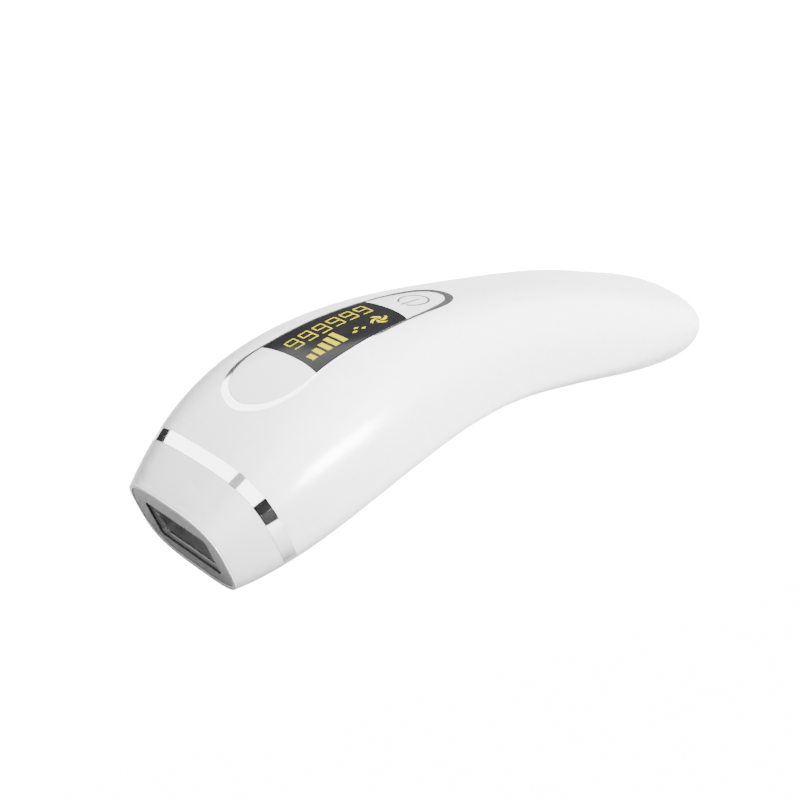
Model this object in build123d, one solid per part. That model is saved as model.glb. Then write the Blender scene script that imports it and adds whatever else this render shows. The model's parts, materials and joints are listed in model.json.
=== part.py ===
from build123d import *
import math
import os

from scipy.interpolate import CubicSpline

# Handheld pulsed-light hair remover. Millimetres, +Z up, resting concave side down on Z = 0.
# The treatment head is at -X and the tail at +X. The body is a curved, tapering loft.
# A station is a distance along the body's centre line, from the treatment face to the tail.

# ---- centre line and sections of the body -------------------------------------------------
SPINE_POINTS = [(-92.4, 11.8), (-55.6, 21.0), (-17.8, 24.4), (20.0, 20.5), (57.6, 14.8), (95.5, 12.5)]
FACE_TILT = 14.1
TAIL_TILT = 0.6
LENGTH = 190.0
WIDTH_STATIONS = [0.0, 28.5, 66.5, 104.5, 142.5, 190.0]
HALF_WIDTHS = [23.0, 31.7, 31.2, 25.2, 25.7, 22.3]
HALF_DEPTHS = [12.5, 17.1, 16.5, 15.1, 15.0, 9.6]
CROWN_STATIONS = [0.0, 95.0, 190.0]
CROWNS = [0.03, 0.59, -0.23]
SQUARE_STATIONS = [0.0, 85.5, 190.0]
SQUARENESS = [3.3, 3.2, 1.8]
TAIL_START = 174.6
TAIL_ROUNDNESS = 2.1
SECTION_POINTS = 32
WIDEST_STATION = 45.0
SECTION_PITCH = 12.0
TAIL_ANGLES = [18, 34, 48, 60, 72, 90]
TAIL_LAND = 0.25

# ---- head, ring and walls -----------------------------------------------------------------
WALL = 2.0
FIT = 0.05
RING_FRONT = 12.6
RING_REAR = 16.2
RING_THICKNESS = 1.1
SPIGOT_INSET = 2.4
SPIGOT_END = 20.0
CAP_WALL = 1.8
CAP_GAP = 0.1
LIP_WIDTH = 1.0
PLATE_RECESS = 0.25
PLATE_DEPTH = 1.7
WINDOW_SIZE = (30.8, 12.2)
WINDOW_CHAMFER = 0.9
WINDOW_OFFSET = -0.36
GUIDE_STEP = 0.3

# ---- control panel on top, plan view ------------------------------------------------------
BEZEL_OUTLINE = [(-70.5, 0.0), (-69.4, 5.6), (-66.8, 10.3), (-62.6, 13.3), (-57.0, 14.5), (-50.5, 13.7),
                 (-37.0, 12.5), (-22.0, 11.1), (-8.0, 9.5), (-1.0, 8.0), (3.2, 4.9), (4.8, 0.0)]
PANEL_OUTLINE = [(-68.3, 0.0), (-67.3, 5.1), (-64.8, 9.4), (-61.0, 12.1), (-56.0, 13.2), (-50.5, 12.8),
                 (-37.0, 11.7), (-22.0, 10.1), (-8.0, 8.0), (-2.8, 6.4), (1.1, 3.8), (2.4, 0.0)]
DISPLAY_FRONT = -49.6
DISPLAY_FRONT_RADIUS = 70.0
DISPLAY_REAR = -16.1
DISPLAY_REAR_RADIUS = 35.0
RIM_STEPS = 32
BEZEL_DEPTH = 1.4
PANEL_RIB_DEPTH = 3.0
LENS_DEPTH = 1.5
BUTTON_DEPTH = 1.9
BUTTON_GAP = 0.15
BUTTON_POST_RADIUS = 2.2
BOARD_TOP = 38.0
BOARD_THICKNESS = 1.2
FLASH_BUTTON_X = -59.5
POWER_BUTTON_X = -7.0
SWITCH_SIZE = (6.0, 6.0, 3.4)
PLUNGER_RADIUS = 1.65
PLUNGER_BOTTOM = 1.0
PLUNGER_TOP = 4.3

# ---- underside cover ----------------------------------------------------------------------
COVER_CENTRE_X = 12.5
COVER_SIZE = (131.0, 30.0)
COVER_CORNER = 12.0
COVER_GAP = 0.1
LEDGE_WIDTH = 1.4
LEDGE_DEPTH = 3.2
BOSS_RADIUS = 2.7
BOSS_HEIGHT = 8.0
COVER_SCREWS = [(-8.0, 11.6), (-8.0, -11.6), (69.5, 10.8), (69.5, -10.8)]
SCREW_RADIUS = 1.2
SCREW_HEAD_RADIUS = 2.1
SCREW_HEAD_DEPTH = 1.2
SCREW_LENGTH = 7.0

# ---- fan, boards and inlet ----------------------------------------------------------------
FAN_STATION = 63.0
FAN_SIZE = 30.0
FAN_DEPTH = 8.0
FAN_BOTTOM = -3.4
FAN_BORE = 13.9
FAN_HUB_RADIUS = 6.0
FAN_BLADES = 7
FAN_BLADE_REACH = 13.3
FAN_SCREW_OFFSET = 12.6
FAN_SHAFT_RADIUS = 1.0
BOARD_STATION = 127.0
MAIN_BOARD_SIZE = (66.0, 34.0, 1.6)
MAIN_BOARD_TOP = 0.5
MAIN_POSTS = [(sx * 30.0, sy * 13.5) for sx in (-1, 1) for sy in (-1, 1)]
CONTROL_POSTS = [(x, sy * 18.0) for x in (-49.0, -21.0) for sy in (-1, 1)]
POST_RADIUS = 2.6
INLET_HOLE_RADIUS = 3.7
INLET_BORE_RADIUS = 2.75
INLET_PIN_RADIUS = 1.0
INLET_FACE_X = 94.4
INLET_LENGTH = 13.0
INLET_BORE_DEPTH = 9.0
INLET_PIN_TIP = 1.0


# ---- the body's shape ---------------------------------------------------------------------
def tilted(degrees):
    """Unit vector along the body, nose down by an angle."""
    return (math.cos(math.radians(degrees)), 0, math.sin(math.radians(degrees)))


spine = Spline(*[(x, 0, z) for x, z in SPINE_POINTS], tangents=[tilted(FACE_TILT), tilted(TAIL_TILT)])
half_width = CubicSpline(WIDTH_STATIONS, HALF_WIDTHS)
half_depth = CubicSpline(WIDTH_STATIONS, HALF_DEPTHS)
crown = CubicSpline(CROWN_STATIONS, CROWNS)
squareness = CubicSpline(SQUARE_STATIONS, SQUARENESS)


def section_plane(station):
    """The plane across the body at a station: X is the body's +Y, Y is up, Z runs to the tail."""
    along = station / LENGTH
    return Plane(origin=spine @ along, x_dir=(0, 1, 0), z_dir=spine % along)


def tail_share(station, end):
    """How much of the full section is left as the tail rounds off towards its end."""
    if station <= TAIL_START:
        return 1.0
    reach = (station - TAIL_START) / (end - TAIL_START)
    return (1 - reach**TAIL_ROUNDNESS) ** (1 / TAIL_ROUNDNESS)


def section_points(station, inset):
    """Points on a superellipse, (across, up), with the upper half taller than the lower half."""
    share = tail_share(station, LENGTH - inset + TAIL_LAND)
    width = (half_width(station) - inset) * share
    rise = (half_depth(station) * (1 + crown(station)) - inset) * share
    drop = (half_depth(station) * (1 - crown(station)) - inset) * share
    power = 2 / squareness(station)
    points = []
    for index in range(SECTION_POINTS):
        angle = 2 * math.pi * index / SECTION_POINTS
        across, up = math.cos(angle), math.sin(angle)
        height = rise if up > 0 else drop
        points.append(
            (
                math.copysign(width * abs(across) ** power, across),
                math.copysign(height * abs(up) ** power, up),
            )
        )
    return points


def section_knots():
    """One spacing for the spline of every section, from the widest section's chord lengths."""
    points = section_points(WIDEST_STATION, 0)
    knots = [0.0]
    for here, ahead in zip(points, points[1:] + points[:1]):
        knots.append(knots[-1] + math.dist(here, ahead))
    return knots


KNOTS = section_knots()


def section(station, inset=0.0):
    """The outline across the body at a station."""
    plane = section_plane(station)
    points = [plane.from_local_coords(point) for point in section_points(station, inset)]
    return Wire([Edge.make_spline(points, periodic=True, parameters=KNOTS)])


def body_loft(inset, start):
    """The body's shape, shrunk by inset, from a station to the tail's tip."""
    count = math.ceil((TAIL_START - start) / SECTION_PITCH)
    stations = [start + (TAIL_START - start) * step / count for step in range(count + 1)]
    reach = LENGTH - inset - TAIL_START
    stations += [TAIL_START + reach * math.sin(math.radians(angle)) for angle in TAIL_ANGLES]
    return Solid.make_loft([section(station, inset) for station in stations])


def inner_body(inset):
    """The body's shape shrunk by inset, from just behind the face to the tail."""
    return body_loft(inset, 2.0)


def part_of(shape, start=None, end=None):
    """The stretch of a shape between two stations."""
    if start is not None:
        shape = split(shape, bisect_by=section_plane(start), keep=Keep.TOP)
    if end is not None:
        shape = split(shape, bisect_by=section_plane(end), keep=Keep.BOTTOM)
    return shape


body = body_loft(0, 0)
head = section_plane(0)
UPWARD = (0, 0, 1)


def top_layer(outline, depth_from, depth_to):
    """The slice of the body under a plan outline, between two depths below its upper surface."""
    column = extrude(Pos(0, 0, BOARD_TOP - 10) * outline, 40, dir=UPWARD)
    upper = Pos(0, 0, -depth_from) * body if depth_from else body
    return (upper & column) - Pos(0, 0, -depth_to) * body


def under_layer(outline, depth_from, depth_to):
    """The slice of the body over a plan outline, between two depths above its underside."""
    column = extrude(Pos(0, 0, -5) * outline, 35, dir=UPWARD)
    lower = Pos(0, 0, depth_from) * body if depth_from else body
    return (lower & column) - Pos(0, 0, depth_to) * body


def write(node, shape):
    """One STEP file for each node."""
    export_step(shape, f"parts/{node}.step")
    solids = shape.solids()
    print(node, len(solids), round(sum(solid.volume for solid in solids), 1))


def head_block(size, corner, near, far, offset=0.0):
    """A rounded block in the head, between two depths behind the treatment face."""
    outline = head * Pos(0, offset, near) * RectangleRounded(size[0], size[1], corner)
    return extrude(outline, far - near, dir=head.z_dir)


def head_rod(radius, near, far, across=0.0, offset=0.0):
    """A round rod along the head's axis, between two depths behind the treatment face."""
    outline = head * Pos(across, offset, near) * Circle(radius)
    return extrude(outline, far - near, dir=head.z_dir)


def cross_rod(radius, start, end, depth, offset=0.0):
    """A round rod across the head, from one side distance to another."""
    centre = head * Pos((start + end) / 2, offset, depth)
    return centre * Rot(0, 90, 0) * Cylinder(radius, end - start)


def standing(x, y, radius, bottom, top):
    """An upright round rod."""
    return Pos(x, y, (bottom + top) / 2) * Cylinder(radius, top - bottom)


# ---- housing ------------------------------------------------------------------------------
def panel_outline(points, grow=0.0):
    """Closed plan outline, symmetric about the X axis, from the points of its far side."""
    other_side = [(x, -y) for x, y in reversed(points[1:-1])]
    rim = Spline(*points, *other_side, periodic=True)
    if grow:
        moved = []
        for step in range(RIM_STEPS):
            share = step / RIM_STEPS
            along = rim % share
            moved.append(rim @ share + Vector(-along.Y, along.X) * grow)
        rim = Spline(*moved, periodic=True)
    return make_face(rim)


def cover_outline(grow=0.0):
    shape = RectangleRounded(COVER_SIZE[0] + 2 * grow, COVER_SIZE[1] + 2 * grow, COVER_CORNER + grow)
    return Pos(COVER_CENTRE_X, 0) * shape


def window_outline(grow=0.0):
    """The light window's outline in the head's plane: a rectangle with cut corners."""
    outline = chamfer(
        Rectangle(WINDOW_SIZE[0] + 2 * grow, WINDOW_SIZE[1] + 2 * grow).vertices(),
        WINDOW_CHAMFER,
    )
    return Pos(0, WINDOW_OFFSET) * outline


def main_board_place(along, across, height):
    """A place on the main board, in the board's own frame."""
    plane = section_plane(BOARD_STATION)
    return plane.location * Pos(across, MAIN_BOARD_TOP + height, along)


def main_post(along, across):
    """A post that hangs from the roof down to the main board."""
    height = 30.0
    return main_board_place(along, across, height / 2) * Rot(90, 0, 0) * Cylinder(POST_RADIUS, height)


def inlet_rod(radius, back, front):
    """A round rod on the inlet's axis, along X."""
    height = SPINE_POINTS[-1][1]
    return Pos((back + front) / 2, 0, height) * Rot(0, 90, 0) * Cylinder(radius, front - back)


def main_shell():
    """Top and sides in one piece, open underneath for the cover and on top for the panel."""
    outside = part_of(body, start=RING_REAR)
    spigot = part_of(inner_body(RING_THICKNESS + FIT), RING_FRONT, SPIGOT_END)
    shell = (outside + spigot) - part_of(inner_body(SPIGOT_INSET), end=SPIGOT_END)
    shell -= part_of(inner_body(WALL), start=SPIGOT_END - 1)
    shell += top_layer(panel_outline(BEZEL_OUTLINE, 1.5), 1.0, PANEL_RIB_DEPTH)
    shell -= extrude(Pos(0, 0, -5) * cover_outline(-LEDGE_WIDTH), 30)
    ledge = under_layer(cover_outline(LEDGE_WIDTH) - cover_outline(-LEDGE_WIDTH), 1.0, LEDGE_DEPTH)
    shell += ledge
    for x, y in COVER_SCREWS:
        boss = under_layer(Pos(x, y) * Circle(BOSS_RADIUS), 1.0, BOSS_HEIGHT)
        shell += boss
    inside = inner_body(WALL - 0.5)
    for along, across in MAIN_POSTS:
        shell += main_post(along, across) & inside
    for x, y in CONTROL_POSTS:
        shell += standing(x, y, POST_RADIUS, BOARD_TOP, 60.0) & inside
    shell -= top_layer(panel_outline(BEZEL_OUTLINE, FIT), 0, BEZEL_DEPTH + FIT)
    shell -= extrude(Pos(0, 0, BOARD_TOP) * panel_outline(PANEL_OUTLINE, BUTTON_GAP), 20, dir=UPWARD)
    shell -= under_layer(cover_outline(COVER_GAP), 0, WALL + FIT)
    for x, y in COVER_SCREWS:
        shell -= standing(x, y, SCREW_RADIUS, -5.0, 40.0) & under_layer(
            Pos(x, y) * Circle(BOSS_RADIUS), 1.0, SCREW_LENGTH
        )
    shell -= inlet_rod(INLET_HOLE_RADIUS, INLET_FACE_X - INLET_LENGTH, LENGTH)
    return shell


def vent_slots():
    """Slots through the cover: one field under the fan and one behind the main board."""
    slots = []
    for centre, count in ((-30.0, 9), (34.0, 7)):
        for index in range(count):
            x = centre + 2.6 * (index - (count - 1) / 2)
            slots.append(Pos(x, 0, -5) * extrude(SlotOverall(20, 1.3, rotation=90), 35))
    return slots


def fan_place(across, along, height):
    """A place in the fan's own frame, whose height is along the fan's axis."""
    plane = section_plane(FAN_STATION)
    return plane.location * Pos(across, height, along) * Rot(-90, 0, 0)


def fan_corners():
    return [(sx * FAN_SCREW_OFFSET, sy * FAN_SCREW_OFFSET) for sx in (-1, 1) for sy in (-1, 1)]


def bottom_cover():
    """Inset cover in the underside, with its vents, screw holes and fan feet."""
    cover = under_layer(cover_outline(), 0, WALL)
    room = extrude(Pos(0, 0, -5) * cover_outline(-LEDGE_WIDTH - COVER_GAP), 40)
    for across, along in fan_corners():
        foot_length = 6.0
        foot = fan_place(across, along, FAN_BOTTOM - foot_length / 2) * Cylinder(2.0, foot_length)
        cover += foot & (Pos(0, 0, 1.0) * body) & room
    for slot in vent_slots():
        cover -= slot
    for x, y in COVER_SCREWS:
        cover -= standing(x, y, SCREW_RADIUS + 0.2, -5.0, 30.0)
        cover -= under_layer(Pos(x, y) * Circle(SCREW_HEAD_RADIUS + 0.2), 0, SCREW_HEAD_DEPTH)
    for across, along in fan_corners():
        cover -= fan_place(across, along, FAN_BOTTOM - 3.0) * Cylinder(0.8, 6.0)
    return cover


def cover_screws():
    """Pan-head screws, each with its head let into the cover."""
    screws = []
    for x, y in COVER_SCREWS:
        head_disc = under_layer(Pos(x, y) * Circle(SCREW_HEAD_RADIUS), 0.2, SCREW_HEAD_DEPTH)
        seat = head_disc.bounding_box().max.Z
        shank = standing(x, y, SCREW_RADIUS - 0.02, seat - 0.6, seat + SCREW_LENGTH - 2.5)
        drive = Pos(x, y, head_disc.bounding_box().min.Z) * (Box(2.4, 0.5, 1.0) + Box(0.5, 2.4, 1.0))
        screws.append(head_disc + shank - drive)
    return Compound(children=[screw.solid() for screw in screws])


def trim_ring():
    """Bright ring on the shell's front spigot."""
    ring = part_of(body, RING_FRONT, RING_REAR - FIT)
    return ring - inner_body(RING_THICKNESS)


def panel_bezel():
    """Bright frame around the buttons and the display."""
    ring = top_layer(panel_outline(BEZEL_OUTLINE), 0, BEZEL_DEPTH)
    return ring - extrude(Pos(0, 0, BOARD_TOP) * panel_outline(PANEL_OUTLINE), 20, dir=UPWARD)


def display_span(front, rear):
    """Plan area between two X positions."""
    return Pos((front + rear) / 2, 0) * Rectangle(rear - front, 40)


def front_edge_disc(grow=0.0):
    """Disc whose rear edge is the display's front edge."""
    return Pos(DISPLAY_FRONT - DISPLAY_FRONT_RADIUS, 0) * Circle(DISPLAY_FRONT_RADIUS + grow)


def rear_edge_disc(grow=0.0):
    """Disc whose rear edge is the display's rear edge."""
    return Pos(DISPLAY_REAR - DISPLAY_REAR_RADIUS, 0) * Circle(DISPLAY_REAR_RADIUS + grow)


def display_window():
    outline = panel_outline(PANEL_OUTLINE, -FIT) & display_span(DISPLAY_FRONT - 6, 0)
    return top_layer((outline & rear_edge_disc()) - front_edge_disc(), 0, LENS_DEPTH)


def flash_button():
    """Front button: its plate follows the body's surface, its post meets the switch."""
    outline = panel_outline(PANEL_OUTLINE, -BUTTON_GAP) & front_edge_disc(-BUTTON_GAP)
    plate = top_layer(outline, 0, BUTTON_DEPTH)
    return plate + button_post(FLASH_BUTTON_X)


def power_button():
    outline = panel_outline(PANEL_OUTLINE, -BUTTON_GAP) & display_span(DISPLAY_REAR - 8, 30)
    plate = top_layer(outline - rear_edge_disc(BUTTON_GAP), 0, BUTTON_DEPTH)
    return plate + button_post(POWER_BUTTON_X)


def button_post(x):
    post = standing(x, 0, BUTTON_POST_RADIUS, BOARD_TOP + PLUNGER_TOP, 60.0)
    return post & (Pos(0, 0, -1.0) * body)


def tact_switch(x):
    """Switch case with a blind hole for its plunger."""
    width, depth, height = SWITCH_SIZE
    case = Pos(x, 0, BOARD_TOP + height / 2) * Box(width, depth, height)
    return case - standing(x, 0, PLUNGER_RADIUS + FIT, BOARD_TOP + 0.3, BOARD_TOP + 10)


def plunger(x):
    return standing(x, 0, PLUNGER_RADIUS, BOARD_TOP + PLUNGER_BOTTOM, BOARD_TOP + PLUNGER_TOP)


def control_board():
    """Board under the panel: a long strip with a wide middle that takes the screws."""
    middle = BOARD_TOP - BOARD_THICKNESS / 2
    strip = Pos(-33.5, 0, middle) * Box(62, 20, BOARD_THICKNESS)
    wide = Pos(-35, 0, middle) * Box(34, 42, BOARD_THICKNESS)
    board = strip + wide
    for x, y in CONTROL_POSTS:
        board -= standing(x, y, SCREW_RADIUS, 30, 50)
    return board


def control_board_screws():
    screws = []
    for x, y in CONTROL_POSTS:
        underside = BOARD_TOP - BOARD_THICKNESS
        cap = standing(x, y, SCREW_HEAD_RADIUS, underside - SCREW_HEAD_DEPTH, underside)
        shank = standing(x, y, SCREW_RADIUS - 0.02, underside - 0.5, BOARD_TOP)
        screws.append((cap + shank).solid())
    return Compound(children=screws)


def display_module():
    """Light-segment block between the board and the window."""
    height = 8.2
    block = Pos(-33.6, 0, BOARD_TOP + height / 2) * Box(30, 17, height)
    return block - Pos(-33.6, 0, BOARD_TOP + height) * Box(27, 14, 1.0)


# ---- lamp cartridge -----------------------------------------------------------------------
def head_cap():
    """Outer cap of the cartridge, with a recess for the face plate."""
    cap = part_of(body, end=RING_FRONT - CAP_GAP)
    recess = extrude(make_face(section(0, LIP_WIDTH).edges()), PLATE_DEPTH, dir=head.z_dir)
    inside = part_of(body_loft(CAP_WALL, PLATE_DEPTH - 0.5), end=RING_FRONT + 2)
    return cap - inside - recess


def face_plate():
    """Grey plate around the light window."""
    outline = make_face(section(0, LIP_WIDTH + FIT).edges())
    plate = extrude(outline, PLATE_DEPTH, dir=head.z_dir)
    plate -= extrude(outline, PLATE_RECESS, dir=head.z_dir)
    return plate - extrude(head * window_outline(), PLATE_DEPTH * 2, dir=head.z_dir)


def light_guide():
    """Bright tunnel between the face plate and the glass."""
    tunnel = head_block((33.0, 14.2), 1.5, PLATE_DEPTH, 5.0, WINDOW_OFFSET)
    return tunnel - extrude(head * window_outline(-GUIDE_STEP), 20, dir=head.z_dir)


def filter_glass():
    return head_block((33.0, 14.2), 1.5, 5.0, 6.5, WINDOW_OFFSET)


def glass_seal():
    """Soft frame that holds the guide and the glass."""
    outside = head_block((34.8, 16.0), 2.4, PLATE_DEPTH, 6.5, WINDOW_OFFSET)
    return outside - head_block((33.0, 14.2), 1.5, 0, 20, WINDOW_OFFSET)


def cartridge_frame():
    """Carrier for glass, lamp and reflector, with a plug that slides into the lamp bay."""
    collar = head_block((37.2, 17.4), 4.0, PLATE_DEPTH, 7.5)
    plug = head_block((41.2, 14.0), 3.0, 7.5, 31.0)
    frame = collar + plug
    frame -= head_block((34.8, 16.0), 2.4, 0, 6.5, WINDOW_OFFSET)
    frame -= head_block((31.0, 12.0), 1.0, 0, 8.5)
    frame -= head_block((38.8, 12.0), 2.0, 8.5, 29.4)
    for across in (-10, 0, 10):
        frame -= head_rod(1.0, 25, 35, across)
    return frame


def reflector():
    """Half-round polished trough behind the lamp."""
    outer = Ellipse(5.8, 9.0)
    inner = Ellipse(5.3, 8.5)
    profile = (outer - inner) & (Pos(0, 10) * Rectangle(20, 20))
    place = head * Pos(0, 0, 8.8) * Rot(0, 90, 90)
    return place * extrude(profile, 15.6, both=True)


def flash_lamp():
    """Quartz tube across the head."""
    return cross_rod(2.5, -16.6, 16.6, 12.5) - cross_rod(1.8, -20, 20, 12.5)


def lamp_electrodes():
    """Metal ends of the lamp."""
    ends = []
    for side in (-1, 1):
        inner_end = cross_rod(1.8, *sorted((side * 14.0, side * 16.6)), 12.5)
        outer_end = cross_rod(2.3, *sorted((side * 16.6, side * 19.0)), 12.5)
        ends.append((inner_end + outer_end).solid())
    return Compound(children=ends)


def lamp_holders():
    """Blocks that grip the lamp's ends."""
    holders = []
    for side in (-1, 1):
        block = head * Pos(side * 17.9, 0, 12.5) * Box(2.2, 10.0, 7.6)
        grip = block - cross_rod(2.3, -20, 20, 12.5)
        holders.append(grip.solid())
    return Compound(children=holders)


def contact_pins():
    pins = [head_rod(1.0, 27.0, 36.0, across).solid() for across in (-10, 0, 10)]
    return Compound(children=pins)


def thermal_sensor():
    """Sensor bead behind the reflector."""
    return head * Pos(6, 0, 20.5) * Box(4.0, 3.0, 3.0)


def lamp_bay():
    """Bulkhead behind the ring, with the sleeve and back wall that receive the cartridge."""
    slab = head * Pos(0, 0, 18.3) * Box(80, 60, 1.6)
    flange = inner_body(SPIGOT_INSET + FIT) & slab
    sleeve = head_block((44.2, 17.0), 4.0, 17.5, 33.5)
    bay = flange + (sleeve & inner_body(WALL + FIT)) - head_block((41.8, 14.6), 3.3, 10, 32.0)
    for across in (-10, 0, 10):
        bay -= head_rod(1.4, 30, 35, across)
    return bay


def lamp_socket():
    """Contact block that the cartridge's pins plug into."""
    block = head_block((28, 8), 1.5, 33.5, 40.0)
    for across in (-10, 0, 10):
        block -= head_rod(1.05, 30, 38.5, across)
    return block


# ---- fan ----------------------------------------------------------------------------------
def fan_middle():
    return FAN_BOTTOM + FAN_DEPTH / 2


def fan_frame():
    """Square frame with a bore, a motor plate on three arms, and corner holes."""
    place = fan_place(0, 0, fan_middle())
    frame = Box(FAN_SIZE, FAN_SIZE, FAN_DEPTH) - Cylinder(FAN_BORE, FAN_DEPTH)
    plate = Pos(0, 0, FAN_DEPTH / 2 - 0.6) * Cylinder(FAN_HUB_RADIUS, 1.2)
    for turn in (0, 120, 240):
        plate += Rot(0, 0, turn) * Pos(FAN_BORE / 2, 0, FAN_DEPTH / 2 - 0.6) * Box(FAN_BORE + 1, 2, 1.2)
    frame += plate - Cylinder(FAN_SHAFT_RADIUS + FIT, FAN_DEPTH * 2)
    for x, y in fan_corners():
        frame -= Pos(x, y, 0) * Cylinder(SCREW_RADIUS, FAN_DEPTH)
    return place * frame


def fan_impeller():
    """Hub with pitched blades."""
    hub = Pos(0, 0, -1.0) * Cylinder(FAN_HUB_RADIUS - 0.2, 5.2)
    blade_middle = (FAN_HUB_RADIUS + FAN_BLADE_REACH) / 2
    blade = Pos(blade_middle, 0, -1.0) * Rot(38, 0, 0) * Box(FAN_BLADE_REACH - FAN_HUB_RADIUS + 1, 0.9, 6.2)
    trimmed = blade & Pos(0, 0, -1.0) * Cylinder(FAN_BLADE_REACH, 5.2)
    rotor = hub
    for index in range(FAN_BLADES):
        rotor += Rot(0, 0, 360 * index / FAN_BLADES) * trimmed
    return fan_place(0, 0, fan_middle()) * (rotor - Cylinder(FAN_SHAFT_RADIUS, FAN_DEPTH * 2))


def fan_shaft():
    return fan_place(0, 0, fan_middle()) * Pos(0, 0, 0.4) * Cylinder(FAN_SHAFT_RADIUS, FAN_DEPTH - 1.0)


def fan_screws():
    screws = []
    for across, along in fan_corners():
        place = fan_place(across, along, fan_middle())
        cap = Pos(0, 0, FAN_DEPTH / 2 + 0.5) * Cylinder(1.9, 1.0)
        shank = Cylinder(0.78, FAN_DEPTH + 0.4)
        screws.append((place * (cap + shank)).solid())
    return Compound(children=screws)


# ---- power electronics --------------------------------------------------------------------
def main_board():
    length, width, thickness = MAIN_BOARD_SIZE
    board = main_board_place(0, 0, -thickness / 2) * Box(width, thickness, length)
    for along, across in MAIN_POSTS:
        board -= main_board_place(along, across, 0) * Rot(90, 0, 0) * Cylinder(SCREW_RADIUS, 10)
    return board


def board_screws():
    thickness = MAIN_BOARD_SIZE[2]
    screws = []
    for along, across in MAIN_POSTS:
        shank = main_board_place(along, across, -thickness / 2) * Rot(90, 0, 0) * Cylinder(
            SCREW_RADIUS - 0.02, thickness
        )
        cap = main_board_place(along, across, -thickness - 0.5) * Rot(90, 0, 0) * Cylinder(1.9, 1.0)
        screws.append((shank + cap).solid())
    return Compound(children=screws)


def storage_capacitor():
    """Round can lying along the board, with a rolled groove near one end."""
    radius = 8.5
    can = Cylinder(radius, 38) - Pos(0, 0, 15) * (Cylinder(radius, 1.2) - Cylinder(radius - 0.6, 1.2))
    return main_board_place(-6, 8.0, radius + 0.2) * can


def transformer_core():
    """Ferrite frame around the winding, in two legs and a middle limb."""
    core = Box(13, 14, 17) - Box(13, 10.0, 11.0) + Box(5, 14, 5)
    return main_board_place(-16, -9.0, 7.2) * core


def transformer_winding():
    winding = Box(11.4, 9.8, 10.8) - Box(5, 14, 5)
    return main_board_place(-16, -9.0, 7.2) * winding


def trigger_coil():
    return main_board_place(2, -9.0, 5.2) * Rot(90, 0, 0) * Cylinder(4.6, 10.0)


def inductor():
    """Ring-wound choke standing flat on the board."""
    return main_board_place(22, 6.8, 4.2) * Rot(90, 0, 0) * (Cylinder(7.0, 8.0) - Cylinder(2.6, 8.0))


def power_transistor():
    return main_board_place(14, -8.0, 6.0) * Box(10, 11, 2.0)


def transistor_heat_sink():
    """Finned plate that the transistor is clamped to."""
    sink = Pos(0, 0, 1.0) * Box(15, 13, 2.0)
    for index in range(5):
        sink += Pos(-6.6 + 3.3 * index, 0, 4.0) * Box(1.0, 13, 4.4)
    return main_board_place(15, -8.0, 7.0) * sink


# ---- inlet --------------------------------------------------------------------------------
def dc_jack():
    """Socket body: a block inside the tail with a barrel that fills the hole in the shell."""
    back = INLET_FACE_X - INLET_LENGTH
    height = SPINE_POINTS[-1][1]
    barrel = inlet_rod(INLET_HOLE_RADIUS - FIT, back, INLET_FACE_X)
    case = Pos(back + 3.5, 0, height) * Box(7.0, 9.0, 9.0)
    jack = barrel + case
    return jack - inlet_rod(INLET_BORE_RADIUS, INLET_FACE_X - INLET_BORE_DEPTH, LENGTH)


def dc_jack_pin():
    return inlet_rod(INLET_PIN_RADIUS, INLET_FACE_X - INLET_BORE_DEPTH, INLET_FACE_X - INLET_PIN_TIP)


NODES = {
    "main_shell": main_shell,
    "bottom_cover": bottom_cover,
    "cover_screws": cover_screws,
    "trim_ring": trim_ring,
    "panel_bezel": panel_bezel,
    "display_window": display_window,
    "display_module": display_module,
    "control_board": control_board,
    "control_board_screws": control_board_screws,
    "flash_switch": lambda: tact_switch(FLASH_BUTTON_X),
    "power_switch": lambda: tact_switch(POWER_BUTTON_X),
    "flash_button": flash_button,
    "flash_plunger": lambda: plunger(FLASH_BUTTON_X),
    "power_button": power_button,
    "power_plunger": lambda: plunger(POWER_BUTTON_X),
    "head_cap": head_cap,
    "face_plate": face_plate,
    "light_guide": light_guide,
    "filter_glass": filter_glass,
    "glass_seal": glass_seal,
    "cartridge_frame": cartridge_frame,
    "reflector": reflector,
    "flash_lamp": flash_lamp,
    "lamp_electrodes": lamp_electrodes,
    "lamp_holders": lamp_holders,
    "contact_pins": contact_pins,
    "thermal_sensor": thermal_sensor,
    "lamp_bay": lamp_bay,
    "lamp_socket": lamp_socket,
    "fan_frame": fan_frame,
    "fan_impeller": fan_impeller,
    "fan_shaft": fan_shaft,
    "fan_screws": fan_screws,
    "main_board": main_board,
    "board_screws": board_screws,
    "storage_capacitor": storage_capacitor,
    "transformer_core": transformer_core,
    "transformer_winding": transformer_winding,
    "trigger_coil": trigger_coil,
    "inductor": inductor,
    "power_transistor": power_transistor,
    "transistor_heat_sink": transistor_heat_sink,
    "dc_jack": dc_jack,
    "dc_jack_pin": dc_jack_pin,
}

os.makedirs("parts", exist_ok=True)
for node, make in NODES.items():
    write(node, make())
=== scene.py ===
import json
import math

import bmesh
import bpy
import numpy as np
from mathutils import Matrix, Vector

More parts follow.
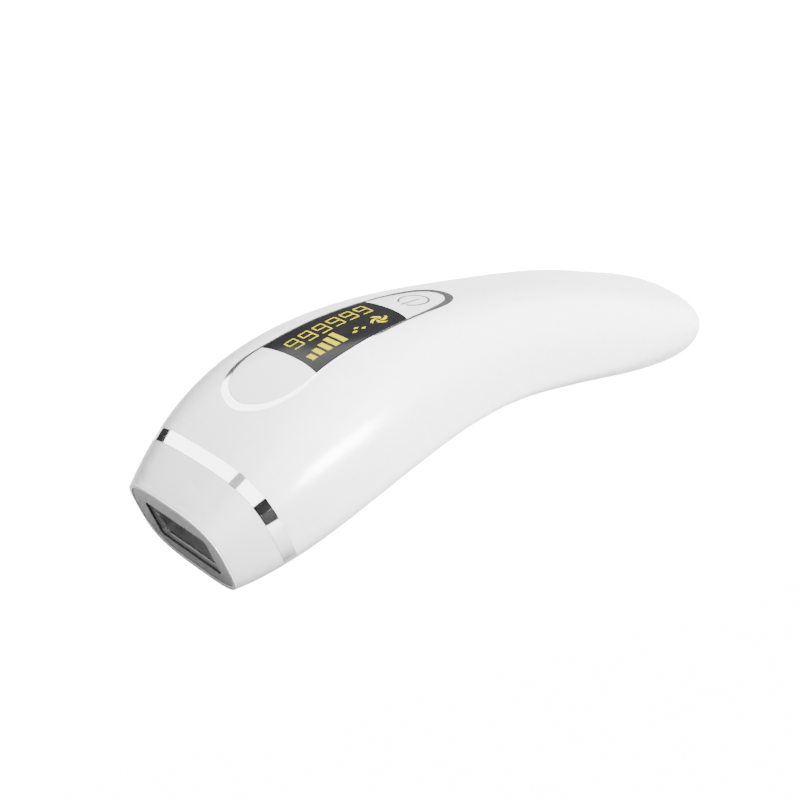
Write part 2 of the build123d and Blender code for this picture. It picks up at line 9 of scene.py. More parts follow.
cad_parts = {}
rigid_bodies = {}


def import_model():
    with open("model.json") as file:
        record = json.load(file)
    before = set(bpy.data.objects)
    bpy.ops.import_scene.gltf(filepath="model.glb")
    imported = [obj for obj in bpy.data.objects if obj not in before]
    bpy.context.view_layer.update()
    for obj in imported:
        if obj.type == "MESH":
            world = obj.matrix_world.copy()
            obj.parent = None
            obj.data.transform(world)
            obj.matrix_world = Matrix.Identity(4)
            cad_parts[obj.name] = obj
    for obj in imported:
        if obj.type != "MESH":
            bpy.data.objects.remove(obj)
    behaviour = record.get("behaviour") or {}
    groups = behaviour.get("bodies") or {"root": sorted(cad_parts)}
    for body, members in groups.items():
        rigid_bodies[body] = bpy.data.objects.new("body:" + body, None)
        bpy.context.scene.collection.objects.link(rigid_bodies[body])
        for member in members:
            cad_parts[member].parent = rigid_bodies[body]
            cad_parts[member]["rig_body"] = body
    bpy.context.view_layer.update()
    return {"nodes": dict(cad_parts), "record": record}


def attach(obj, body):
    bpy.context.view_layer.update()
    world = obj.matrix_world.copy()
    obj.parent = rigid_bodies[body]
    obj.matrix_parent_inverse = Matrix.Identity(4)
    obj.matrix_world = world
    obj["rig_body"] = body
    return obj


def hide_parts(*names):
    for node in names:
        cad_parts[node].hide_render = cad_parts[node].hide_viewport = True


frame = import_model()
MM = 0.001
SLOT_OF = {part["node"]: part["material_slot"] for part in frame["record"]["subparts"]}

# ---- the body's surface, in millimetres ---------------------------------------------------
SPINE_POINTS = np.array([
    (-92.4, 11.8), (-55.6, 21.0), (-17.8, 24.4), (20.0, 20.5), (57.6, 14.8), (95.5, 12.5),
])
FACE_TILT = 14.1
TAIL_TILT = 0.6
LENGTH = 190.0
WIDTH_STATIONS = (0.0, 28.5, 66.5, 104.5, 142.5, 190.0)
HALF_WIDTHS = (23.0, 31.7, 31.2, 25.2, 25.7, 22.3)
HALF_DEPTHS = (12.5, 17.1, 16.5, 15.1, 15.0, 9.6)
CROWN_STATIONS = (0.0, 95.0, 190.0)
CROWNS = (0.03, 0.59, -0.23)
SQUARE_STATIONS = (0.0, 85.5, 190.0)
SQUARENESS = (3.3, 3.2, 1.8)
TAIL_START = 174.6
TAIL_ROUNDNESS = 2.1
TAIL_LAND = 0.25
HEAD_EDGE_RADIUS = 0.7
LINE_SAMPLES = 8001
STATION_COUNT = 1901
NEAREST_STEPS = 12
HALVINGS = 26
ABOVE_BODY = 60.0


def parabola(xs, ys):
    """Curve through three points."""
    terms = np.polyfit(xs, ys, 2)
    return lambda at: np.polyval(terms, at)


def cubic(xs, ys, slopes=None):
    """Cubic spline through points, with given end slopes or with no kink in curvature near its ends."""
    xs, ys = np.asarray(xs, float), np.asarray(ys, float)
    gaps, rises = np.diff(xs), np.diff(ys) / np.diff(xs)
    count = len(xs)
    rows, right = np.zeros((count, count)), np.zeros(count)
    for i in range(1, count - 1):
        rows[i, i - 1 : i + 2] = gaps[i - 1], 2 * (gaps[i - 1] + gaps[i]), gaps[i]
        right[i] = 6 * (rises[i] - rises[i - 1])
    if slopes is None:
        rows[0, :3] = gaps[1], -(gaps[0] + gaps[1]), gaps[0]
        rows[-1, -3:] = gaps[-1], -(gaps[-2] + gaps[-1]), gaps[-2]
    else:
        rows[0, :2] = 2 * gaps[0], gaps[0]
        rows[-1, -2:] = gaps[-1], 2 * gaps[-1]
        right[0], right[-1] = 6 * (rises[0] - slopes[0]), 6 * (slopes[1] - rises[-1])
    bends = np.linalg.solve(rows, right)

    def value(at):
        at = np.asarray(at, float)
        i = np.clip(np.searchsorted(xs, at) - 1, 0, count - 2)
        left, ahead = at - xs[i], xs[i + 1] - at
        return (
            (bends[i] * ahead**3 + bends[i + 1] * left**3) / (6 * gaps[i])
            + (ys[i] / gaps[i] - bends[i] * gaps[i] / 6) * ahead
            + (ys[i + 1] / gaps[i] - bends[i + 1] * gaps[i] / 6) * left
        )

    return value


half_width = cubic(WIDTH_STATIONS, HALF_WIDTHS)
half_depth = cubic(WIDTH_STATIONS, HALF_DEPTHS)
crown = parabola(CROWN_STATIONS, CROWNS)
squareness = parabola(SQUARE_STATIONS, SQUARENESS)


def spine_table():
    """Stations with the centre line's X and Z, and its direction, at each."""
    chords = np.concatenate([[0], np.cumsum(np.hypot(*np.diff(SPINE_POINTS, axis=0).T))])
    tilts = np.radians([FACE_TILT, TAIL_TILT])
    x = cubic(chords, SPINE_POINTS[:, 0], np.cos(tilts))
    z = cubic(chords, SPINE_POINTS[:, 1], np.sin(tilts))
    at = np.linspace(0, chords[-1], LINE_SAMPLES)
    line = np.stack([x(at), z(at)], 1)
    run = np.concatenate([[0], np.cumsum(np.hypot(*np.diff(line, axis=0).T))])
    stations = np.linspace(0, LENGTH, STATION_COUNT)
    share = stations / LENGTH * run[-1]
    line = np.stack([np.interp(share, run, line[:, 0]), np.interp(share, run, line[:, 1])], 1)
    along = np.gradient(line, axis=0)
    return stations, line, along / np.hypot(*along.T)[:, None]


STATIONS, LINE, ALONG = spine_table()


def at_station(station):
    """Centre line point, direction to the tail and up direction at stations, each as (x, z) rows."""
    point = np.stack([np.interp(station, STATIONS, LINE[:, i]) for i in (0, 1)], -1)
    tail = np.stack([np.interp(station, STATIONS, ALONG[:, i]) for i in (0, 1)], -1)
    return point, tail, np.stack([-tail[..., 1], tail[..., 0]], -1)


def station_of(points):
    """The station whose cross plane holds each point."""
    flat = points[:, (0, 2)]
    station = np.interp(flat[:, 0], LINE[:, 0], STATIONS)
    for _ in range(NEAREST_STEPS):
        centre, tail, _ = at_station(station)
        station = np.clip(station + ((flat - centre) * tail).sum(1), 0, LENGTH)
    return station


def section_share(points):
    """How far out each point lies in its cross section (1 is on the surface), with the section's frame."""
    station = station_of(points)
    centre, _, up = at_station(station)
    high = ((points[:, (0, 2)] - centre) * up).sum(1)
    reach = np.clip((station - TAIL_START) / (LENGTH + TAIL_LAND - TAIL_START), 0, 1)
    share = (1 - reach**TAIL_ROUNDNESS) ** (1 / TAIL_ROUNDNESS)
    gap = np.clip(HEAD_EDGE_RADIUS - station, 0, HEAD_EDGE_RADIUS)
    inset = HEAD_EDGE_RADIUS - np.sqrt(HEAD_EDGE_RADIUS**2 - gap**2)
    width = half_width(station) * share - inset
    height = half_depth(station) * (1 + np.sign(high) * crown(station)) * share - inset
    power = squareness(station)
    out = (np.abs(points[:, 1] / width) ** power + np.abs(high / height) ** power) ** (1 / power)
    return out, station, centre, up, high, np.minimum(width, height)


def onto_body(points):
    """Points moved straight out or in, in their cross sections, onto the body's surface."""
    out, _, centre, up, high, _ = section_share(points)
    scale = 1 / np.maximum(out, 1e-6)
    moved = np.empty_like(points)
    moved[:, 1] = points[:, 1] * scale
    moved[:, (0, 2)] = centre + (high * scale)[:, None] * up + (
        (points[:, (0, 2)] - centre) - high[:, None] * up
    )
    return moved


def body_normals(points, step=0.02):
    """The surface's outward normals at points."""
    slope = np.empty_like(points)
    for axis in range(3):
        ahead, behind = points.copy(), points.copy()
        ahead[:, axis] += step
        behind[:, axis] -= step
        slope[:, axis] = section_share(ahead)[0] - section_share(behind)[0]
    return slope / np.maximum(np.linalg.norm(slope, axis=1), 1e-9)[:, None]


def top_z(x, y):
    """Height of the body's upper surface over plan positions."""
    x, y = np.asarray(x, float), np.asarray(y, float)
    low, high = np.interp(x, LINE[:, 0], LINE[:, 1]), np.full(x.shape, ABOVE_BODY)
    for _ in range(HALVINGS):
        middle = (low + high) / 2
        outside = section_share(np.stack([x, y, middle], 1))[0] > 1
        high = np.where(outside, middle, high)
        low = np.where(outside, low, middle)
    return (low + high) / 2


# ---- smooth copies of the CAD nodes that show the body's surface --------------------------
SKIN_OFF = 0.05
SKIN_FACING = 0.93
FRONT_FACING = 0.8
SKIN_EDGE = 2.2
FINENESS_STEPS = 6
SHARP = math.radians(32)
EDGE_ROWS = (0.06, 0.16, 0.3, 0.48, 0.7, 1.2)
WELD_DISTANCE = 2e-6
ON_PLANE = 1e-7
FACE_AXIS = Vector((-math.cos(math.radians(FACE_TILT)), 0, -math.sin(math.radians(FACE_TILT))))


def skin_faces(bm):
    """The faces that lie on the body's surface, or on the sharp edge that its rounded front replaces."""
    points = np.array([v.co for v in bm.verts]) / MM
    out, station, _, _, _, size = section_share(points)
    off = np.abs(out - 1) * size
    on = (off < SKIN_OFF) | ((station < HEAD_EDGE_RADIUS) & (off < HEAD_EDGE_RADIUS + SKIN_OFF))
    normals = body_normals(points)
    faces = []
    for face in bm.faces:
        corners = [v.index for v in face.verts]
        if all(on[i] for i in corners):
            mean = Vector(normals[corners].mean(0)).normalized()
            if face.normal.dot(mean) > SKIN_FACING and abs(face.normal.dot(FACE_AXIS)) < FRONT_FACING:
                faces.append(face)
    return faces


def cut_across(bm, place):
    """New edges where the plane through a place, parallel to the treatment face, meets a mesh."""
    everything = bm.verts[:] + bm.edges[:] + bm.faces[:]
    bmesh.ops.bisect_plane(bm, geom=everything, dist=ON_PLANE, plane_co=place, plane_no=FACE_AXIS)


def make_triangles(bm):
    bmesh.ops.triangulate(bm, faces=[f for f in bm.faces if len(f.verts) > 3])


def stand_in(node, name, mesh):
    """An object for a mesh that is shown in a node's place."""
    piece = bpy.data.objects.new(name, mesh)
    bpy.context.scene.collection.objects.link(piece)
    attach(piece, frame["nodes"][node]["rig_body"])
    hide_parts(node)
    return piece


def read_values(items, field, kind, width=1):
    """One stored field of mesh items as an array, with a row for each item where the field is a vector."""
    values = np.zeros(len(items) * width, kind)
    items.foreach_get(field, values)
    return values if width == 1 else values.reshape(-1, width)


def skin_normals(mesh):
    """The body's own normals on the marked faces, and the mesh's elsewhere."""
    corners = read_values(mesh.corner_normals, "vector", np.float32, 3)
    places = read_values(mesh.vertices, "co", np.float32, 3).astype(float) / MM
    owner = read_values(mesh.loops, "vertex_index", np.int32)
    on_skin = read_values(mesh.attributes["skin"].data, "value", np.int32)
    totals = read_values(mesh.polygons, "loop_total", np.int32)
    loop_skin = np.repeat(on_skin, totals) == 1
    corners[loop_skin] = body_normals(places[owner[loop_skin]])
    mesh.attributes.remove(mesh.attributes["skin"])
    mesh.normals_split_custom_set([tuple(n) for n in corners.tolist()])


def smooth_copy(node, name):
    """A piece in a node's place: the same solid, its share of the body's surface made fine and smooth."""
    bm = bmesh.new()
    bm.from_mesh(frame["nodes"][node].data)
    bmesh.ops.remove_doubles(bm, verts=bm.verts, dist=WELD_DISTANCE)
    if node == "head_cap":
        start = Vector((SPINE_POINTS[0, 0], 0, SPINE_POINTS[0, 1]))
        for row in EDGE_ROWS:
            cut_across(bm, (start - FACE_AXIS * row) * MM)
        make_triangles(bm)
    bm.normal_update()
    bm.verts.index_update()
    skin = bm.faces.layers.int.new("skin")
    for face in skin_faces(bm):
        face[skin] = 1
    for _ in range(FINENESS_STEPS):
        long = [
            e for e in bm.edges
            if e.calc_length() > SKIN_EDGE * MM and any(f[skin] for f in e.link_faces)
        ]
        if not long:
            break
        bmesh.ops.subdivide_edges(bm, edges=long, cuts=1, use_grid_fill=True)
        make_triangles(bm)
    bm.verts.index_update()
    bm.verts.ensure_lookup_table()
    used = sorted({v.index for f in bm.faces if f[skin] for v in f.verts})
    placed = onto_body(np.array([bm.verts[i].co for i in used]).reshape(-1, 3) / MM)
    for i, point in zip(used, placed):
        bm.verts[i].co = Vector(point * MM)
    for face in bm.faces:
        face.smooth = True
    for edge in bm.edges:
        if len(edge.link_faces) == 2 and edge.calc_face_angle(0) > SHARP:
            edge.smooth = False
        if len({f[skin] for f in edge.link_faces}) > 1:
            edge.smooth = False
    mesh = bpy.data.meshes.new(name)
    bm.to_mesh(mesh)
    bm.free()
    skin_normals(mesh)
    return stand_in(node, name, mesh)


# ---- materials ----------------------------------------------------------------------------
NOISE_DETAIL = 3.0
TONE_STOPS = (0.3, 0.7)
COAT_ROUGHNESS = 0.04
ROUGHNESS_SPREAD = 0.15


def finish_material(
    name, colour, roughness, metallic=0.0, coat=0.0, mottle=0.02, grain=200.0, bump=0.0,
    transmission=0.0, ior=1.5, specular=0.5,
):
    """A surface with a faint uneven tone, an uneven polish and, where asked, a fine relief."""
    made = bpy.data.materials.new(name)
    made.use_nodes = True
    nodes, links = made.node_tree.nodes, made.node_tree.links
    shader = nodes["Principled BSDF"]
    place = nodes.new("ShaderNodeTexCoord")
    fine = nodes.new("ShaderNodeTexNoise")
    fine.inputs["Scale"].default_value = grain
    fine.inputs["Detail"].default_value = NOISE_DETAIL
    links.new(place.outputs["Object"], fine.inputs["Vector"])
    tone = nodes.new("ShaderNodeValToRGB")
    for stop, at, share in zip(tone.color_ramp.elements, TONE_STOPS, (1 - mottle, 1 + mottle)):
        stop.position = at
        stop.color = (*[min(1.0, c * share) for c in colour], 1)
    links.new(fine.outputs["Fac"], tone.inputs["Fac"])
    links.new(tone.outputs["Color"], shader.inputs["Base Color"])
    polish = nodes.new("ShaderNodeMapRange")
    polish.inputs["To Min"].default_value = roughness * (1 - ROUGHNESS_SPREAD)
    polish.inputs["To Max"].default_value = roughness * (1 + ROUGHNESS_SPREAD)
    links.new(fine.outputs["Fac"], polish.inputs["Value"])
    links.new(polish.outputs["Result"], shader.inputs["Roughness"])
    if bump:
        relief = nodes.new("ShaderNodeBump")
        relief.inputs["Strength"].default_value = 1.0
        relief.inputs["Distance"].default_value = bump
        links.new(fine.outputs["Fac"], relief.inputs["Height"])
        links.new(relief.outputs["Normal"], shader.inputs["Normal"])
    shader.inputs["Metallic"].default_value = metallic
    shader.inputs["Coat Weight"].default_value = coat
    shader.inputs["Coat Roughness"].default_value = COAT_ROUGHNESS
    shader.inputs["Transmission Weight"].default_value = transmission
    shader.inputs["IOR"].default_value = ior
    shader.inputs["Specular IOR Level"].default_value = specular
    return made


MATERIALS = {
    "shell_gloss": finish_material("shell_gloss", (0.75, 0.75, 0.755), 0.28, coat=0.12, mottle=0.006),
    "cap_gloss": finish_material("cap_gloss", (0.64, 0.64, 0.645), 0.26, coat=0.12, mottle=0.006),
    "button_gloss": finish_material("button_gloss", (0.66, 0.66, 0.67), 0.2, coat=0.3, mottle=0.008),
    "cover_plastic": finish_material("cover_plastic", (0.72, 0.72, 0.72), 0.42, bump=1e-5, grain=3000),
    "chrome_trim": finish_material("chrome_trim", (0.86, 0.86, 0.87), 0.07, metallic=1.0, mottle=0.01),
    "lens_black": finish_material(
        "lens_black", (0.009, 0.009, 0.0095), 0.12, mottle=0.1, ior=1.3, specular=0.12
    ),
    "plate_grey": finish_material(
        "plate_grey", (0.105, 0.105, 0.108), 0.5, bump=6e-6, grain=4000, mottle=0.04
    ),
    "guide_bright": finish_material("guide_bright", (0.62, 0.62, 0.63), 0.25, metallic=1.0, mottle=0.02),
    "window_glass": finish_material("window_glass", (0.055, 0.053, 0.053), 0.1, coat=0.1, mottle=0.2),
    "seal_rubber": finish_material("seal_rubber", (0.03, 0.03, 0.03), 0.7, bump=8e-6, grain=3500),
    "frame_black": finish_material("frame_black", (0.04, 0.04, 0.042), 0.5, bump=8e-6, grain=3000),
    "bay_white": finish_material("bay_white", (0.68, 0.68, 0.67), 0.5, bump=6e-6, grain=3000),
    "reflector_bright": finish_material("reflector_bright", (0.85, 0.85, 0.85), 0.12, metallic=1.0),
    "lamp_quartz": finish_material("lamp_quartz", (0.92, 0.94, 0.95), 0.05, transmission=0.9, ior=1.46),
    "metal_bright": finish_material("metal_bright", (0.6, 0.6, 0.61), 0.3, metallic=1.0, mottle=0.05),
    "holder_ceramic": finish_material("holder_ceramic", (0.78, 0.75, 0.68), 0.6, bump=8e-6, grain=2500),
    "contact_brass": finish_material("contact_brass", (0.8, 0.6, 0.26), 0.25, metallic=1.0, mottle=0.05),
    "board_green": finish_material("board_green", (0.02, 0.18, 0.08), 0.4, mottle=0.15, grain=900),
    "part_black": finish_material("part_black", (0.03, 0.03, 0.033), 0.45, bump=6e-6, grain=2500),
    "capacitor_sleeve": finish_material("capacitor_sleeve", (0.03, 0.05, 0.16), 0.25, coat=0.3),
    "ferrite_grey": finish_material("ferrite_grey", (0.09, 0.09, 0.095), 0.55, bump=1e-5, grain=1800),
    "winding_tape": finish_material("winding_tape", (0.7, 0.5, 0.08), 0.35, mottle=0.06),
    "copper_wire": finish_material(
        "copper_wire", (0.66, 0.28, 0.12), 0.3, metallic=1.0, mottle=0.12, grain=1500
    ),
    "sink_metal": finish_material("sink_metal", (0.68, 0.68, 0.69), 0.35, metallic=1.0, mottle=0.03),
}
MARK_YELLOW = finish_material("mark_yellow", (0.34, 0.29, 0.0), 0.6, mottle=0.03, specular=0.05)
MARK_GREY = finish_material("mark_grey", (0.01, 0.01, 0.0105), 0.6, mottle=0.04)
OPENING_BLACK = finish_material("opening_black", (0.01, 0.01, 0.01), 0.5, mottle=0.1, specular=0.2)
TUNNEL_GREY = finish_material("tunnel_grey", (0.15, 0.148, 0.148), 0.35, mottle=0.06, grain=1200)

# ---- finishes on the nodes, and the smooth pieces over them --------------------------------
SMOOTH_NODES = (
    "main_shell", "head_cap", "trim_ring", "panel_bezel", "display_window", "flash_button",
    "power_button", "bottom_cover",
)

for node, obj in frame["nodes"].items():
    obj.data.materials.clear()
    obj.data.materials.append(MATERIALS[SLOT_OF[node]])
for node in SMOOTH_NODES:
    piece = smooth_copy(node, node + "_fine")
    piece.data.materials.append(MATERIALS[SLOT_OF[node]])

# ---- the window's walls --------------------------------------------------------------------
WALL_FACING = 0.9
PLATE_EDGE_DEPTH = 0.6
GUIDE_RIM_DEPTH = 0.5


def two_tone(node, name, depth, finishes):
    """A piece in a node's place, with one finish in front, one on shallow walls and one on deeper walls."""
    bm = bmesh.new()
    bm.from_mesh(frame["nodes"][node].data)
    front = max(v.co.dot(FACE_AXIS) for v in bm.verts)
    cut_across(bm, FACE_AXIS * (front - depth * MM))
    for face in bm.faces:
        behind = (front - face.calc_center_median().dot(FACE_AXIS)) / MM
        is_wall = abs(face.normal.dot(FACE_AXIS)) < WALL_FACING
        face.material_index = 1 + (behind > depth) if is_wall else 0
    mesh = bpy.data.meshes.new(name)
    bm.to_mesh(mesh)
    bm.free()
    for finish in finishes:
        mesh.materials.append(finish)
    stand_in(node, name, mesh)


plate_finishes = (MATERIALS["plate_grey"], OPENING_BLACK, TUNNEL_GREY)
two_tone("face_plate", "face_plate_toned", PLATE_EDGE_DEPTH, plate_finishes)
guide_finishes = (MATERIALS["guide_bright"], MATERIALS["guide_bright"], TUNNEL_GREY)
two_tone("light_guide", "light_guide_toned", GUIDE_RIM_DEPTH, guide_finishes)

# ---- marks on the display and on the power button, plan positions in millimetres ----------
MARK_LIFT = 0.015
MARK_DEPTH = 0.05
MARK_CELL = 0.5
MARK_WELD_DISTANCE = 1e-6
DIGIT_COUNT = 6
DIGIT_START = -47.2
DIGIT_PITCH = 4.75
DIGIT_WIDTH = 3.5
DIGIT_BOTTOM, DIGIT_TOP = 1.8, 7.6
STROKE = 0.44
SEGMENT_GAP = 0.1
BAR_LEFTS = (-47.8, -45.2, -42.6, -40.0, -37.4)
BAR_TOPS = (-4.0, -3.0, -2.1, -1.1, -0.1)
BAR_WIDTH = 1.65
BAR_BOTTOM = -7.2
DOT_CENTRES = ((-30.4, -3.6), (-28.9, -5.2), (-32.0, -5.2))
DOT_REACH = (0.85, 0.6)
FAN_MARK_CENTRE = (-22.9, -4.2)
FAN_MARK_RADIUS = 2.9
FAN_MARK_HUB = 0.14
FAN_MARK_BLADES = 4
FAN_MARK_STEPS = 6
FAN_MARK_START = 20
FAN_MARK_SWEEP = 80
FAN_MARK_SPREAD = (12, 16)
FAN_MARK_FULLEST = 1.15
POWER_CENTRE = (-7.0, 0.3)
POWER_RADIUS = 4.3
POWER_STROKE = 0.68
POWER_GAP = math.radians(22)
POWER_LINE = (-11.8, -5.2)
ARC_STEPS = 48


def rectangle(left, right, bottom, top):
    return [(left, bottom), (right, bottom), (right, top), (left, top)]


def mark(name, quads, material, body):
    """Thin plates that follow the body's upper surface, one for each four-cornered plan area."""
    plan, faces = [], []
    for quad in quads:
        a, b, c, d = (np.array(corner, float) for corner in quad)
        across = max(1, math.ceil(np.linalg.norm(b - a) / MARK_CELL))
        along = max(1, math.ceil(np.linalg.norm(d - a) / MARK_CELL))
        first = len(plan)
        for j in range(along + 1):
            for i in range(across + 1):
                u, v = i / across, j / along
                plan.append((a * (1 - u) + b * u) * (1 - v) + (d * (1 - u) + c * u) * v)
        for j in range(along):
            for i in range(across):
                here = first + j * (across + 1) + i
                faces.append((here, here + 1, here + across + 2, here + across + 1))
    plan = np.array(plan)
    height = top_z(plan[:, 0], plan[:, 1]) + MARK_LIFT
    mesh = bpy.data.meshes.new(name)
    mesh.from_pydata([(x * MM, y * MM, z * MM) for (x, y), z in zip(plan, height)], [], faces)
    bm = bmesh.new()
    bm.from_mesh(mesh)
    bmesh.ops.remove_doubles(bm, verts=bm.verts, dist=MARK_WELD_DISTANCE)
    bmesh.ops.recalc_face_normals(bm, faces=bm.faces)
    if sum(f.normal.z for f in bm.faces) < 0:
        bmesh.ops.reverse_faces(bm, faces=bm.faces)
    top = bm.faces[:]
    bmesh.ops.extrude_face_region(bm, geom=top)
    for vertex in {v for f in top for v in f.verts}:
        vertex.co.z -= MARK_DEPTH * MM
    bmesh.ops.recalc_face_normals(bm, faces=bm.faces)
    bm.to_mesh(mesh)
    bm.free()
    made = bpy.data.objects.new(name, mesh)
    bpy.context.scene.collection.objects.link(made)
    made.data.materials.append(material)
    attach(made, body)


def digit_quads(left):
    """A squared nine: its loop in the upper half, its tail down the right side and along the bottom."""
    right = left + DIGIT_WIDTH
    middle = (DIGIT_BOTTOM + DIGIT_TOP) / 2
    half = STROKE / 2
    gap = SEGMENT_GAP
    level = [
        rectangle(left + gap, right - gap, y - half, y + half)
        for y in (DIGIT_BOTTOM + half, middle, DIGIT_TOP - half)
    ]
    upright = [
        rectangle(right - STROKE, right, DIGIT_BOTTOM + STROKE + gap, middle - half - gap),
        rectangle(right - STROKE, right, middle + half + gap, DIGIT_TOP - STROKE - gap),
        rectangle(left, left + STROKE, middle + half + gap, DIGIT_TOP - STROKE - gap),
    ]
    return level + upright


def around(centre, radius, turn):
    """The point at a distance and angle from a centre."""
    return centre[0] + radius * math.cos(turn), centre[1] + radius * math.sin(turn)


def fan_quads():
    """Swept blades round a point, each widest near its middle."""
    quads = []
    for blade in range(FAN_MARK_BLADES):
        rows = []
        for step in range(FAN_MARK_STEPS + 1):
            share = step / FAN_MARK_STEPS
            radius = FAN_MARK_RADIUS * (FAN_MARK_HUB + (1 - FAN_MARK_HUB) * share)
            middle = math.radians(360 / FAN_MARK_BLADES * blade + FAN_MARK_START + FAN_MARK_SWEEP * share)
            fullness = math.sin(math.pi * min(1.0, share * FAN_MARK_FULLEST))
            spread = math.radians(FAN_MARK_SPREAD[0] + FAN_MARK_SPREAD[1] * fullness)
            rows.append([around(FAN_MARK_CENTRE, radius, middle + turn) for turn in (-spread, spread)])
        for near, far in zip(rows, rows[1:]):
            quads.append([near[0], near[1], far[1], far[0]])
    return quads


def arc_quads(centre, radius, stroke, start, end):
    """A ring's stretch between two angles."""
    quads = []
    for index in range(ARC_STEPS):
        near, far = (
            [around(centre, reach, turn) for reach in (radius - stroke / 2, radius + stroke / 2)]
            for turn in (start + (end - start) * (index + ahead) / ARC_STEPS for ahead in (0, 1))
        )
        quads.append([near[0], near[1], far[1], far[0]])
    return quads


digits = []
for index in range(DIGIT_COUNT):
    digits += digit_quads(DIGIT_START + DIGIT_PITCH * index)
mark("display_digits", digits, MARK_YELLOW, "main_body")
bars = [
    rectangle(left, left + BAR_WIDTH, BAR_BOTTOM, top) for left, top in zip(BAR_LEFTS, BAR_TOPS)
]
mark("display_bars", bars, MARK_YELLOW, "main_body")
dots = [
    [(x - DOT_REACH[0], y), (x, y - DOT_REACH[1]), (x + DOT_REACH[0], y), (x, y + DOT_REACH[1])]
    for x, y in DOT_CENTRES
]
mark("display_dots", dots, MARK_YELLOW, "main_body")
mark("display_fan_sign", fan_quads(), MARK_YELLOW, "main_body")
ring = arc_quads(POWER_CENTRE, POWER_RADIUS, POWER_STROKE, POWER_GAP - math.pi, math.pi - POWER_GAP)
line = [rectangle(POWER_LINE[0], POWER_LINE[1], -POWER_STROKE / 2, POWER_STROKE / 2)]
mark("power_sign", ring + line, MARK_GREY, "power_key")

# ---- stage, in metres ----------------------------------------------------------------------
FLOOR_LEVEL = -0.0002
FLOOR_SIZE = (12, 12)
FLOOR_GLOW = 16.0
FLOOR_BOUNCE = 0.1
SHADE_PLACE = (-0.076, -0.031, 0.0)
SHADE_REACH = 0.034
SHADE_TONE = 0.12
STAGE_ROUGHNESS = 0.9
STAGE_GRAIN = 4.0
LOW_CARD_TURN = math.radians(-23)


def stage_plane(name, centre, size, normal, material):
    """A flat rectangle of stage, facing along its normal."""
    mesh = bpy.data.meshes.new(name)
    half_x, half_y = size[0] / 2, size[1] / 2
    corners = [(-half_x, -half_y, 0), (half_x, -half_y, 0), (half_x, half_y, 0), (-half_x, half_y, 0)]
    mesh.from_pydata(corners, [], [(0, 1, 2, 3)])
    mesh.materials.append(material)
    made = bpy.data.objects.new(name, mesh)
    made.location = centre
    made.rotation_mode = "QUATERNION"
    made.rotation_quaternion = Vector(normal).to_track_quat("Z", "Y")
    bpy.context.scene.collection.objects.link(made)
    return made


def floor_material():
    """Pale floor: even to the camera, shaded near the head in polish, dim to soft light, clear from below."""
    made = finish_material(
        "floor_pale", (0.9, 0.9, 0.9), STAGE_ROUGHNESS, mottle=0.003, grain=STAGE_GRAIN, specular=0.0
    )
    nodes, links = made.node_tree.nodes, made.node_tree.links
    shader, out = nodes["Principled BSDF"], nodes["Material Output"]
    lit = nodes.new("ShaderNodeEmission")
    lit.inputs["Strength"].default_value = FLOOR_GLOW
    seen = nodes.new("ShaderNodeLightPath")
    both = nodes.new("ShaderNodeAddShader")
    chosen = nodes.new("ShaderNodeMixShader")
    links.new(shader.outputs["BSDF"], both.inputs[0])
    links.new(lit.outputs["Emission"], both.inputs[1])
    links.new(seen.outputs["Is Camera Ray"], chosen.inputs["Fac"])
    links.new(both.outputs["Shader"], chosen.inputs[2])
    place = nodes.new("ShaderNodeNewGeometry")
    clear = nodes.new("ShaderNodeBsdfTransparent")
    sided = nodes.new("ShaderNodeMixShader")
    links.new(place.outputs["Backfacing"], sided.inputs["Fac"])
    links.new(chosen.outputs["Shader"], sided.inputs[1])
    links.new(clear.outputs["BSDF"], sided.inputs[2])
    links.new(sided.outputs["Shader"], out.inputs["Surface"])
    spot = nodes.new("ShaderNodeMapping")
    spot.vector_type = "TEXTURE"
    spot.inputs["Location"].default_value = SHADE_PLACE
    spot.inputs["Scale"].default_value = (SHADE_REACH,) * 3
    fade = nodes.new("ShaderNodeTexGradient")
    fade.gradient_type = "SPHERICAL"
    bounce = nodes.new("ShaderNodeBsdfDiffuse")
    bounce.inputs["Color"].default_value = (FLOOR_BOUNCE, FLOOR_BOUNCE, FLOOR_BOUNCE, 1)
    traced = nodes.new("ShaderNodeMixShader")
    shade = nodes.new("ShaderNodeBsdfDiffuse")
    shade.inputs["Color"].default_value = (SHADE_TONE, SHADE_TONE, SHADE_TONE, 1)
    shaded = nodes.new("ShaderNodeMixShader")
    links.new(place.outputs["Position"], spot.inputs["Vector"])
    links.new(spot.outputs["Vector"], fade.inputs["Vector"])
    links.new(fade.outputs["Fac"], shaded.inputs["Fac"])
    links.new(shader.outputs["BSDF"], shaded.inputs[1])
    links.new(shade.outputs["BSDF"], shaded.inputs[2])
    links.new(seen.outputs["Is Glossy Ray"], traced.inputs["Fac"])
    links.new(bounce.outputs["BSDF"], traced.inputs[1])
    links.new(shaded.outputs["Shader"], traced.inputs[2])
    links.new(traced.outputs["Shader"], chosen.inputs[1])
    return made


def card_material(name, tone, specular):
    return finish_material(
        name, (tone, tone, tone), STAGE_ROUGHNESS, mottle=0.01, grain=STAGE_GRAIN, specular=specular
    )


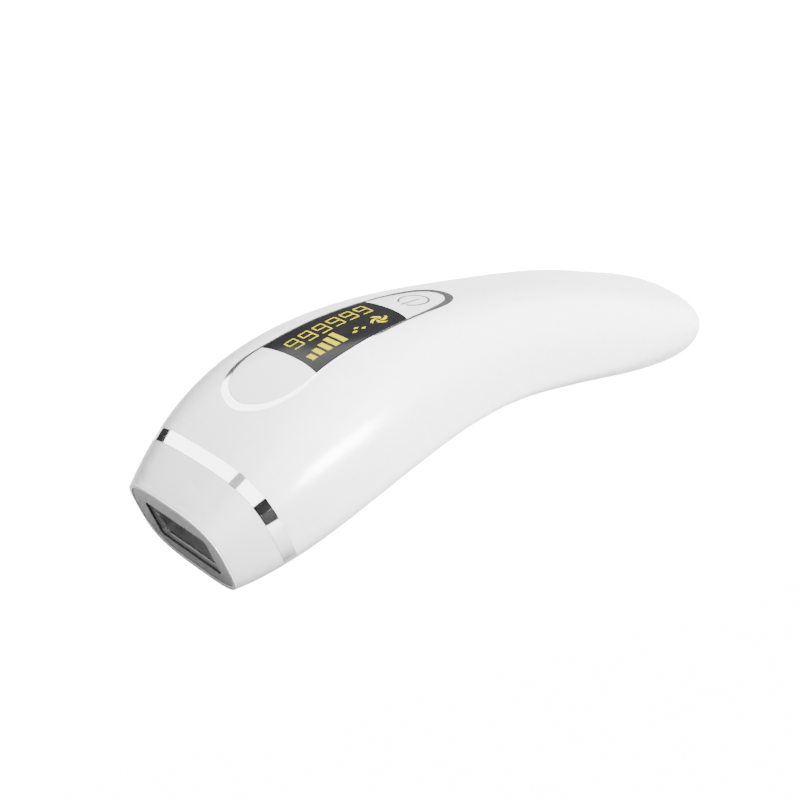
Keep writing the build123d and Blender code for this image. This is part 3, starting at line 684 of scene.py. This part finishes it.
stage_plane("floor", (0, 0, FLOOR_LEVEL), FLOOR_SIZE, (0, 0, 1), floor_material())
CARD_DARK = card_material("card_dark", 0.02, 0.0)
CARD_GREY = card_material("card_grey", 0.12, 0.1)
CARD_PALE = card_material("card_pale", 0.45, 0.1)
stage_plane("card_behind", (0.95, 1.3, 0.62), (3.0, 1.0), (-0.59, -0.81, 0), CARD_GREY)
low_card = stage_plane("card_low", (-0.31, -0.56, 0.0004), (0.3, 1.06), (0, 0, 1), CARD_DARK)
low_card.rotation_quaternion = Matrix.Rotation(LOW_CARD_TURN, 4, "Z").to_quaternion()
low_card.visible_camera = False
stage_plane("card_far_side", (0.0, 1.2, 0.2), (0.95, 0.4), (0, -1, 0), CARD_DARK)
stage_plane("card_near_side", (-0.56, -1.14, 0.30), (0.76, 0.6), (0.45, 0.89, 0), CARD_DARK)
stage_plane("card_overhead", (-0.70, 0.33, 0.97), (0.3, 0.6), (0.6, -0.25, -0.76), CARD_PALE)

# ---- light ---------------------------------------------------------------------------------
AIM = (0, 0, 0.02)
WORLD_STRENGTH = 1.0
WORLD_GLOSS_STRENGTH = 7.0
WORLD_LEAN = (0.14, -0.63, 0.21)


def area_light(name, place, size, watts):
    """A rectangle of light, turned to the object."""
    data = bpy.data.lights.new(name, "AREA")
    data.shape = "RECTANGLE"
    data.size, data.size_y = size
    data.energy = watts
    made = bpy.data.objects.new(name, data)
    made.location = place
    made.rotation_mode = "QUATERNION"
    made.rotation_quaternion = (Vector(AIM) - Vector(place)).to_track_quat("-Z", "Y")
    bpy.context.scene.collection.objects.link(made)
    return made


key = area_light("key", (0.35, -0.9, 0.85), (0.7, 0.5), 118)
key.visible_glossy = False
strip = area_light("strip", (0.15, -1.25, 0.23), (0.75, 0.45), 210)
strip.visible_diffuse = False


def world_light():
    """Soft light from all round: strongest on the near side, brighter in polish, white to the camera."""
    made = bpy.data.worlds.new("studio")
    made.use_nodes = True
    nodes, links = made.node_tree.nodes, made.node_tree.links
    sky = nodes["Background"]
    sky.inputs["Color"].default_value = (1, 1, 1, 1)
    place = nodes.new("ShaderNodeTexCoord")
    lean = nodes.new("ShaderNodeVectorMath")
    lean.operation = "DOT_PRODUCT"
    lean.inputs[1].default_value = WORLD_LEAN
    level = nodes.new("ShaderNodeMath")
    level.operation = "MULTIPLY_ADD"
    level.inputs[1].default_value = WORLD_STRENGTH
    level.inputs[2].default_value = WORLD_STRENGTH
    seen = nodes.new("ShaderNodeLightPath")
    strength = nodes.new("ShaderNodeMix")
    strength.inputs[3].default_value = WORLD_GLOSS_STRENGTH
    links.new(place.outputs["Generated"], lean.inputs[0])
    links.new(lean.outputs["Value"], level.inputs[0])
    links.new(seen.outputs["Is Glossy Ray"], strength.inputs[0])
    links.new(level.outputs["Value"], strength.inputs[2])
    shown = nodes.new("ShaderNodeMix")
    shown.inputs[3].default_value = FLOOR_GLOW
    links.new(seen.outputs["Is Camera Ray"], shown.inputs[0])
    links.new(strength.outputs[0], shown.inputs[2])
    links.new(shown.outputs[0], sky.inputs["Strength"])
    return made


bpy.context.scene.world = world_light()

# ---- camera --------------------------------------------------------------------------------
CAMERA_PLACE = (-0.22974, -0.30005, 0.20731)
CAMERA_RIGHT = (0.77285, -0.62328, -0.11923)
CAMERA_UP = (0.36812, 0.28730, 0.88428)
CAMERA_BACK = (-0.51690, -0.72731, 0.45148)
LENS_LENGTH = 64.56
SENSOR_WIDTH = 36
NEAREST_SEEN = 0.01
camera = bpy.data.objects.new("camera", bpy.data.cameras.new("camera"))
camera.data.lens = LENS_LENGTH
camera.data.sensor_width = SENSOR_WIDTH
camera.data.clip_start = NEAREST_SEEN
camera.matrix_world = Matrix.Translation(CAMERA_PLACE) @ Matrix(
    (CAMERA_RIGHT, CAMERA_UP, CAMERA_BACK)
).transposed().to_4x4()
bpy.context.scene.collection.objects.link(camera)
bpy.context.scene.camera = camera
